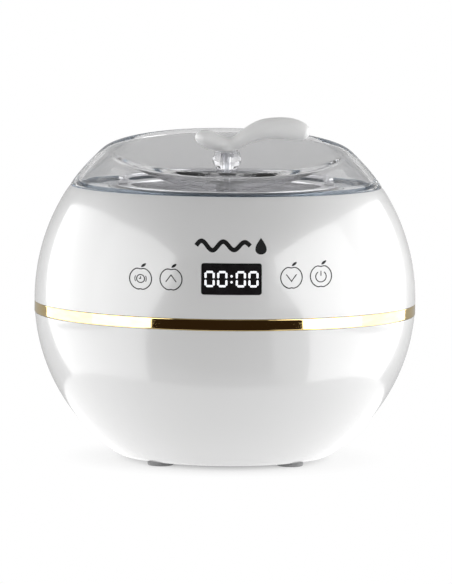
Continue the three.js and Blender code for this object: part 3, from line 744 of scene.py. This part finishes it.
def segment(start, end, width):
    """A bar with both ends cut to a point."""
    start, end = Vector(start), Vector(end)
    along = (end - start).normalized()
    across = Vector((-along.y, along.x)) * width / 2
    inner = along * width * 0.3
    first, last = start + inner, end - inner
    return [[start, first + across, last + across, end, last - across, first - across]]


# ---- Well and pot ----
def heating_well():
    outside, inside = 51.7, 50.2
    top, seat = WELL_TOP_Z / MM, 133.7
    floor = WELL_FLOOR_Z / MM
    well = revolve("heating_well_detail", rounded(mm(
        (0, floor), (outside, floor, 5), (outside, seat, 0.3), (58.2, seat, 0.3), (58.2, top, 0.5),
        (inside, top, 1), (inside, floor + 1.5, 4.5), (0, floor + 1.5)), 8), 192)
    finish_piece("heating_well_detail", well, "well_aluminium", "housing", ["heating_well"])


def inner_pot():
    wall, rim = 1.2, POT_RIM_Z / MM
    floor, bore, flange = POT_FLOOR_Z / MM, POT_RADIUS / MM, POT_FLANGE_RADIUS / MM
    pot = revolve("inner_pot_detail", rounded(mm(
        (0, floor), (bore + wall, floor, 8), (bore + wall, rim - wall, 0.3), (flange, rim - wall, 0.4),
        (flange, rim, 0.5), (bore, rim, 1.2), (bore, floor + 1.4, 7), (0, floor + 1.4)), 10), 192)
    finish_piece("inner_pot_detail", pot, "pot_aluminium", "pot", ["inner_pot"])


def bail_ears():
    inner, seat, top = 49 * MM, POT_RIM_Z + 0.3 * MM, BAIL_AXIS_Z + 2.8 * MM
    for name, side in (("bail_ear_left", -1), ("bail_ear_right", 1)):
        flat = box_mesh("flat", (inner, -5 * MM, seat), (54 * MM, 5 * MM, seat + 1 * MM), 0.3 * MM)
        upright = box_mesh("upright", (inner, -3 * MM, seat), (50.2 * MM, 3 * MM, top), 0.3 * MM)
        eye = revolve("eye", [(0, 40 * MM), (1.6 * MM, 40 * MM), (1.6 * MM, 60 * MM), (0, 60 * MM)], 32)
        eye.transform(Matrix.Translation((0, 0, BAIL_AXIS_Z)) @ Matrix.Rotation(math.pi / 2, 4, "Y"))
        rivets = []
        for y in (-4, 4):
            rivet = revolve("rivet", rounded(mm((0, 0.8), (0.7, 0.8), (0.7, 1.7, 0.5), (0, 1.7))), 20)
            rivet.transform(Matrix.Translation((52 * MM, y * MM, POT_RIM_Z)))
            rivets.append(rivet)
        ear = carve(name, carve(name, flat, [upright], "UNION"), [eye])
        ear = joined(name + "_detail", [ear, *rivets])
        if side < 0:
            ear.transform(Matrix.Rotation(math.pi, 4, "Z"))
        finish_piece(name + "_detail", ear, "bail_steel", "pot", [name])


def bail():
    radius = 52.6 * MM
    route = [(-48.4 * MM, 0), (-50.6 * MM, 0), (-52 * MM, 0.8 * MM)]
    for k in range(25):
        a = math.pi - 0.055 - (math.pi - 0.11) * k / 24
        route.append((radius * math.cos(a), radius * math.sin(a)))
    route += [(-x, y) for x, y in reversed(route[:3])]
    wire = tube("bail_wire_detail", [(x, y, BAIL_AXIS_Z) for x, y in route], 1.2 * MM, 20, 5)
    finish_piece("bail_wire_detail", wire, "bail_steel", "bail", ["bail_wire"])


# ---- Lid ----
DISH_REACH = 60 * MM  # the dish lies inside this radius, the lip with its painted seam shade outside it


def lid_cap():
    """The clear lid: a domed skirt, a crest, and a dish with a round hole for the cup. Its foot takes a
    painted dark shade for the gap at the seam.
    """
    hole = 12.6
    side = [(apple_radius(z * MM) / MM, z) for z in (136.9, 139, 142, 146, 150)]
    top = smooth([*side, (63.6, 152.8), (61.2, 154.5), (58.2, 155.2), (55, 154.6), (50, 152), (42, 147.9),
                  (32, 143.9), (22, 141.4), (hole + 0.4, 140.4)], 8)
    under = smooth([(hole + 0.4, 138), (22, 139), (32, 141.4), (42, 145.3), (50, 149.4), (55.2, 152),
                    (58.2, 152.7), (60.4, 152), (64, 148.4), (68.4, 143.6), (72, 138.6)], 8)
    lip, sole = LID_LIP_Z / MM, LID_FOOT_Z / MM
    foot = [(72.2, 137.6, 0.3), (72.2, lip, 0.5), (74.5, lip, 0.5), (74.5, sole, 0.2),
            (SEAM_RADIUS / MM, sole, 0.5)]
    corners = [tuple(p) for p in top] + [(hole, 140.2), (hole, 138.2)] + [tuple(p) for p in under] + foot
    profile = rounded([tuple(v * MM for v in c) for c in corners])
    cap = revolve("lid_cap_detail", profile, 256, lean_lid)
    finish_piece("lid_cap_detail", cap, "clear_lid", "lid", ["lid_cap"])
    # faces at the foot take the lip material, whose dark colour is painted shade for the gap at the seam
    cap.materials.append(MATERIALS["clear_lip"])
    for face in cap.polygons:
        if face.center.z < LID_FOOT_Z + 0.3 * MM and face.center.xy.length > DISH_REACH:
            face.material_index = 1


PETALS = 6
CUP_FLOOR_Z = 134.1


def petal_cup():
    floor = CUP_FLOOR_Z
    outer = [(6.8, -2.4), (8.8, 0), (10.9, 3.9), (12.2, 6.5), (14.2, 7.2), (15, 7.6)]
    inner = [(14, 8.1), (12.4, 7.3), (11, 5.3), (8.2, 1.5), (6.4, 0.3), (5.2, 0)]
    line = [point for run in (outer, inner) for point in smooth([(r, floor + rise) for r, rise in run], 6)]
    profile = [tuple(p) for p in line] + [(1.9, floor), (1.9, floor - 2.4)]

    def petal(point):
        valley = (1 - math.cos(PETALS * math.atan2(point.y, point.x) + math.pi)) / 2
        height = smoothstep(point.z / MM, floor - 0.5, floor + 7.5)
        pinch = 1 - 0.13 * valley * height
        dip = 4.5 * MM * valley ** 2 * height ** 2
        return lean(Vector((point.x * pinch, point.y * pinch, point.z - dip)))

    cup = revolve("petal_cup_detail", [tuple(v * MM for v in p) for p in profile], 192, petal)
    finish_piece("petal_cup_detail", cup, "clear_trim", "lid", ["petal_cup"], surface="clear_petal")


def handle_post():
    foot = CUP_FLOOR_Z + 0.3
    post = revolve("handle_post_detail", rounded(mm(
        (1.8, foot), (5.6, foot, 0.5), (5.4, 138.5, 1), (5.4, 146.4, 1), (7.2, 149.2, 0.3), (7.3, 150.4, 0.3),
        (6.5, 152.8, 0.3), (6.1, 154.8, 0.4), (1.8, 154.8)), 3), 12, lean)
    finish_piece("handle_post_detail", post, "clear_trim", "lid", ["handle_post"], sharp=12)


def handle_fixings():
    floor = CUP_FLOOR_Z - 2.4
    washer = revolve("handle_washer_detail", rounded(mm(
        (1.9, floor - 1.1), (5, floor - 1.1, 0.3), (5, floor - 0.3, 0.3), (1.9, floor - 0.3))), 64, lean)
    finish_piece("handle_washer_detail", washer, "rubber_grey", "lid", ["handle_washer"])
    seat = floor - 1.4
    screw = revolve("handle_screw_detail", rounded(mm(
        (0, seat - 1.2), (1, seat - 1.2), (1.2, seat - 1.8, 0.2), (3.1, seat - 1.2, 0.8), (3.1, seat, 0.2),
        (1.4, seat), (1.4, seat + 28, 0.4), (0, seat + 28))), 48, lean)
    finish_piece("handle_screw_detail", screw, "steel", "lid", ["handle_screw"])


def handle_leaf():
    """The stem and leaf: round sections along one bent line, melted into a neck that stands on the post."""
    sections = [  # (x, z, half height)
        (-15.9, 162.7, 0.4), (-15.1, 162.4, 2.2), (-13, 161.8, 3.6), (-9.9, 160.8, 4.4), (-6.2, 159.4, 4.2),
        (-2.4, 158.5, 3.8), (1.1, 158.3, 3.3), (4.3, 159.1, 3.3), (7.4, 160.9, 3.6), (11.4, 163.4, 4.2),
        (17.4, 165.8, 5), (23.8, 166.6, 5.25), (29.8, 166.4, 5.4), (34.8, 165.4, 5.1), (38.4, 164.4, 4),
        (40.1, 163.9, 2.6), (40.8, 163.7, 0.6)]
    line = smooth([(x, z) for x, z, _ in sections], 6)
    heights = smooth([(i, height) for i, (_, _, height) in enumerate(sections)], 6)
    rings, sides = [], 40
    vertices = []
    for i, (place, height) in enumerate(zip(line, heights)):
        along = (line[min(i + 1, len(line) - 1)] - line[max(i - 1, 0)]).normalized()
        up = Vector((-along.y, along.x))
        depth = min(5.4, height.y * 1.35)
        rings.append(range(len(vertices), len(vertices) + sides))
        for k in range(sides):
            a = TURN * k / sides
            spot = place + up * height.y * math.sin(a)
            vertices.append(Vector((spot.x, depth * math.cos(a), spot.y)) * MM)
    faces = [list(rings[0]), list(rings[-1])]
    for first, second in zip(rings, rings[1:]):
        for k in range(sides):
            n = (k + 1) % sides
            faces.append([first[k], first[n], second[n], second[k]])
    stem = mesh_of("stem", vertices, faces)
    neck = revolve("neck", rounded(mm((0, 155.1), (4.6, 155.1, 0.8), (4.2, 158.4, 1), (0, 158.4))), 48)
    leaf = carve("leaf", stem, [neck], "UNION")
    leaf = converted("handle_leaf_detail", leaf,
                     ("REMESH", {"mode": "VOXEL", "voxel_size": 0.45 * MM}),
                     ("SMOOTH", {"factor": 0.6, "iterations": 8}),
                     ("SUBSURF", {"levels": 1, "render_levels": 1}))
    for vertex in leaf.vertices:
        vertex.co = lean(vertex.co)
    finish_piece("handle_leaf_detail", leaf, "milk_white", "lid", ["handle_leaf"], sharp=80)


# ---- Stage ----
WHITE = (1, 1, 1)
MIDDLE = Vector((0, 0, CENTRE_Z))
SWEEP_LIGHT = 0.8  # how brightly the white sweep lights the object
WORLD_LIGHT = 0.05
WORLD_SHINE = 0.45  # grey that mirrors and gloss see where no card is
MATT_RADIUS = 0.02  # the floor is matt inside it
SWEEP_RADIUS = 0.085  # and wholly the white sweep outside it
FLOOR_REACH = 14
SOFTBOX_LIGHT = {"left": 1.75, "right": 2.3}
SOFTBOX_SIZE = (1.6, 0.9)
SOFTBOX_SIDE = 0.8  # how far to the left or right a softbox stands
SOFTBOX_HEIGHT = 0.45
# Cards seen only in reflections: brightness, and edges as bearings and elevations in degrees.
PANEL_SHINE = {"left": 3.4, "right": 4.2}
LOW_PANEL_SHINE = {"left": 2.5, "right": 3.5}
REAR_PANEL_SHINE = 2.8
PENUMBRA_SHINE = 1.1  # of the soft inner border of the right panel
TABLE_SHINE = 1.4
TABLE_CARD = (0.15, 0.125)  # half axes of the oval card on the table
INNER_EDGE = {"left": 33, "right": 29}  # bearings of the panels' upper inner corners
LOW_EDGE = {"left": -48, "right": -42}  # elevations of their lower edges
REAR_SPLIT = 84  # bearing where a panel's dimmer rear part starts
LOW_SPLIT = -10  # elevation where its dimmer low part starts
PANEL_FACING = 75  # bearing the panels are square to
PANEL_DISTANCE = 0.8


def plain(name, color, roughness, strength=0.0):
    made, _, bsdf = shader(name, (0, 0, 0) if strength else color, roughness, Specular_IOR_Level=0.0)
    if strength:
        bsdf.inputs["Emission Color"].default_value = (*color, 1)
        bsdf.inputs["Emission Strength"].default_value = strength
    return made


def stage_mesh(name, vertices, faces, material):
    mesh = mesh_of(name, vertices, faces)
    mesh.materials.append(material)
    made = bpy.data.objects.new(name, mesh)
    bpy.context.scene.collection.objects.link(made)
    return made


def card(name, outline, color, strength):
    """A flat glowing card that only mirror images show."""
    made = stage_mesh(name, outline, [list(range(len(outline)))], plain(name, color, 1.0, strength))
    made.visible_camera = made.visible_diffuse = made.visible_transmission = made.visible_shadow = False


def floor():
    """A pale floor: matt under the object, running out into an evenly white sweep."""
    made, tree, bsdf = shader("pale_floor", (0.9, 0.9, 0.9), 0.7)
    place = tree.nodes.new("ShaderNodeTexCoord")
    distance = tree.nodes.new("ShaderNodeVectorMath")
    distance.operation = "LENGTH"
    spread = tree.nodes.new("ShaderNodeMapRange")
    spread.interpolation_type = "SMOOTHSTEP"
    spread.inputs["From Min"].default_value = MATT_RADIUS
    spread.inputs["From Max"].default_value = SWEEP_RADIUS
    sweep = tree.nodes.new("ShaderNodeEmission")
    level = tree.nodes.new("ShaderNodeMapRange")
    level.inputs["To Min"].default_value = SWEEP_LIGHT
    level.inputs["To Max"].default_value = 1.0
    mix = tree.nodes.new("ShaderNodeMixShader")
    tree.links.new(directly_seen(tree), level.inputs["Value"])
    tree.links.new(level.outputs["Result"], sweep.inputs["Strength"])
    tree.links.new(place.outputs["Object"], distance.inputs[0])
    tree.links.new(distance.outputs["Value"], spread.inputs["Value"])
    tree.links.new(spread.outputs["Result"], mix.inputs["Fac"])
    tree.links.new(bsdf.outputs["BSDF"], mix.inputs[1])
    tree.links.new(sweep.outputs["Emission"], mix.inputs[2])
    tree.links.new(mix.outputs["Shader"], tree.nodes["Material Output"].inputs["Surface"])
    reach = FLOOR_REACH
    corners = [(-reach, -reach, 0), (reach, -reach, 0), (reach, reach, 0), (-reach, reach, 0)]
    plane = stage_mesh("floor", corners, [[0, 1, 2, 3]], made)
    plane.visible_glossy = False
    half_x, half_y = TABLE_CARD
    rim = [(half_x * math.cos(TURN * k / 48), half_y * math.sin(TURN * k / 48), 0) for k in range(48)]
    card("table_card", rim, WHITE, TABLE_SHINE)


def towards(bearing, elevation):
    """A direction: bearing in degrees round from the front, to the right; elevation in degrees."""
    a, e = math.radians(bearing), math.radians(elevation)
    return Vector((math.sin(a) * math.cos(e), -math.cos(a) * math.cos(e), math.sin(e)))


def panel(name, facing, distance, corners, color, strength):
    """A card with its corners at (bearing, elevation) from the apple's middle."""
    square_on = towards(facing, 0)
    outline = []
    for bearing, elevation in corners:
        ray = towards(bearing, elevation)
        outline.append(MIDDLE + ray * (distance / ray.dot(square_on)))
    card(name, outline, color, strength)


def softbox(name, place, target, width, height, radiance):
    data = bpy.data.lights.new(name, "AREA")
    data.shape = "RECTANGLE"
    data.size, data.size_y = width, height
    data.energy = radiance * math.pi * width * height
    lamp = bpy.data.objects.new(name, data)
    lamp.location = place
    lamp.rotation_euler = (Vector(target) - Vector(place)).to_track_quat("-Z", "Y").to_euler()
    lamp.visible_camera = lamp.visible_glossy = False
    bpy.context.scene.collection.objects.link(lamp)


def directly_seen(tree):
    """1 for what is seen straight or through a clear piece, 0 for light and mirror images."""
    path = tree.nodes.new("ShaderNodeLightPath")
    either = tree.nodes.new("ShaderNodeMath")
    either.operation = "MAXIMUM"
    tree.links.new(path.outputs["Is Camera Ray"], either.inputs[0])
    tree.links.new(path.outputs["Is Transmission Ray"], either.inputs[1])
    return either.outputs["Value"]


def surroundings():
    """A pale studio: white to the eye and through clear pieces, dimmer as a source of light."""
    world = bpy.data.worlds.new("studio")
    bpy.context.scene.world = world
    world.use_nodes = True
    tree = world.node_tree
    seen = tree.nodes["Background"]
    seen.inputs["Color"].default_value = (1, 1, 1, 1)
    lights = tree.nodes.new("ShaderNodeBackground")
    lights.inputs["Color"].default_value = (1, 1, 1, 1)
    path = tree.nodes.new("ShaderNodeLightPath")
    level = tree.nodes.new("ShaderNodeMapRange")
    level.inputs["To Min"].default_value = WORLD_LIGHT
    level.inputs["To Max"].default_value = WORLD_SHINE
    mix = tree.nodes.new("ShaderNodeMixShader")
    tree.links.new(path.outputs["Is Glossy Ray"], level.inputs["Value"])
    tree.links.new(level.outputs["Result"], lights.inputs["Strength"])
    tree.links.new(directly_seen(tree), mix.inputs["Fac"])
    tree.links.new(lights.outputs["Background"], mix.inputs[1])
    tree.links.new(seen.outputs["Background"], mix.inputs[2])
    tree.links.new(mix.outputs["Shader"], tree.nodes["World Output"].inputs["Surface"])


def lighting():
    surroundings()
    for side, sign in (("left", -1), ("right", 1)):
        place = (sign * SOFTBOX_SIDE, 0, SOFTBOX_HEIGHT)
        softbox("softbox_" + side, place, (0, 0, SOFTBOX_HEIGHT), *SOFTBOX_SIZE, SOFTBOX_LIGHT[side])
        inner, low = INNER_EDGE[side], LOW_EDGE[side]
        parts = {
            "panel_": (PANEL_SHINE[side], [(inner, 26), (54, 34), (REAR_SPLIT, 34), (REAR_SPLIT, LOW_SPLIT),
                                           (47, LOW_SPLIT), (inner, 13)]),
            "rear_panel_": (REAR_PANEL_SHINE, [(REAR_SPLIT, 34), (90, 34), (142, 16), (134, LOW_SPLIT),
                                               (REAR_SPLIT, LOW_SPLIT)]),
            "low_panel_": (LOW_PANEL_SHINE[side], [(47, LOW_SPLIT), (134, LOW_SPLIT), (118, -38), (90, low),
                                                   (60, low)]),
        }
        for name, (shine, corners) in parts.items():
            mirrored = [(sign * bearing, elevation) for bearing, elevation in corners]
            panel(name + side, sign * PANEL_FACING, PANEL_DISTANCE, mirrored, WHITE, shine)
    for name, corners in (("penumbra", [(16, 24), (40, 30), (44, -1), (18, -1)]),
                          ("low_penumbra", [(24, LOW_SPLIT), (50, LOW_SPLIT), (62, -42), (34, -42)])):
        panel(name, PANEL_FACING, PANEL_DISTANCE + 0.02, corners, WHITE, PENUMBRA_SHINE)
    panel("dark_card", 0, 1.2, [(-50, -30), (50, -30), (50, 20), (-50, 20)], (0.028, 0.017, 0.01), 1.0)
    cycles = bpy.context.scene.cycles
    cycles.max_bounces = cycles.transmission_bounces = 32
    cycles.glossy_bounces = 8
    cycles.caustics_reflective = False


def camera():
    distance, height, aim = 2.5, 317 * MM, Vector((0.5 * MM, 0, 83 * MM))
    yaw, roll = math.radians(-1.9), math.radians(0.6)
    data = bpy.data.cameras.new("camera")
    data.lens = 310
    data.sensor_width = 36
    data.clip_end = 60
    eye = bpy.data.objects.new("camera", data)
    eye.location = (distance * math.sin(yaw), -distance * math.cos(yaw), height)
    view = (aim - eye.location).to_track_quat("-Z", "Y")
    eye.rotation_mode = "QUATERNION"
    eye.rotation_quaternion = view @ Matrix.Rotation(roll, 3, "Z").to_quaternion()
    bpy.context.scene.collection.objects.link(eye)
    bpy.context.scene.camera = eye


def dress_carried_nodes():
    """Inner pieces keep their CAD shape and take their slot's material."""
    slots = {part["node"]: part["material_slot"] for part in frame["record"]["subparts"]}
    for name, node in frame["nodes"].items():
        node.data.materials.clear()
        node.data.materials.append(MATERIALS[slots[name]])


camera()
dress_carried_nodes()
lower_housing()
upper_housing()
display_lens()
trim_band()
feet()
power_inlet()
key_marks()
wax_mark()
display_digits()
heating_well()
inner_pot()
bail_ears()
bail()
lid_cap()
petal_cup()
handle_post()
handle_fixings()
handle_leaf()
floor()
lighting()
bpy.context.scene.view_settings.view_transform = "Standard"
